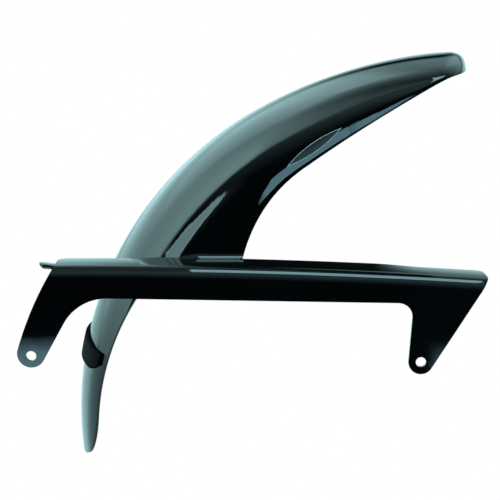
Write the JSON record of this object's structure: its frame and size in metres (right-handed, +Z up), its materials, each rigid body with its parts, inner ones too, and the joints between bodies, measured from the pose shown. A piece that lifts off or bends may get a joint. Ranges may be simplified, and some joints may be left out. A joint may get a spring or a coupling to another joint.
{
  "type": "motorcycle rear hugger mudguard",
  "caption": "Gloss black rear hugger: an arched mudguard over the tyre, joined by a web to an L-section chain guard with two fixing lugs, and a matt strip across its front.",
  "frame": {"origin": "midway between the two fixing holes, on the outer face of the chain guard", "axes": "+X to the rear of the machine, +Z up, +Y away from the chain side, across the wheel"},
  "size_m": [0.4282, 0.24, 0.3995],
  "materials": {
    "gloss_black": "high gloss",
    "matt_black": "matt"
  },
  "bodies": {
    "root": {"hugger_shell": "gloss_black", "buffer_strip": "matt_black"}
  },
  "joints": []
}
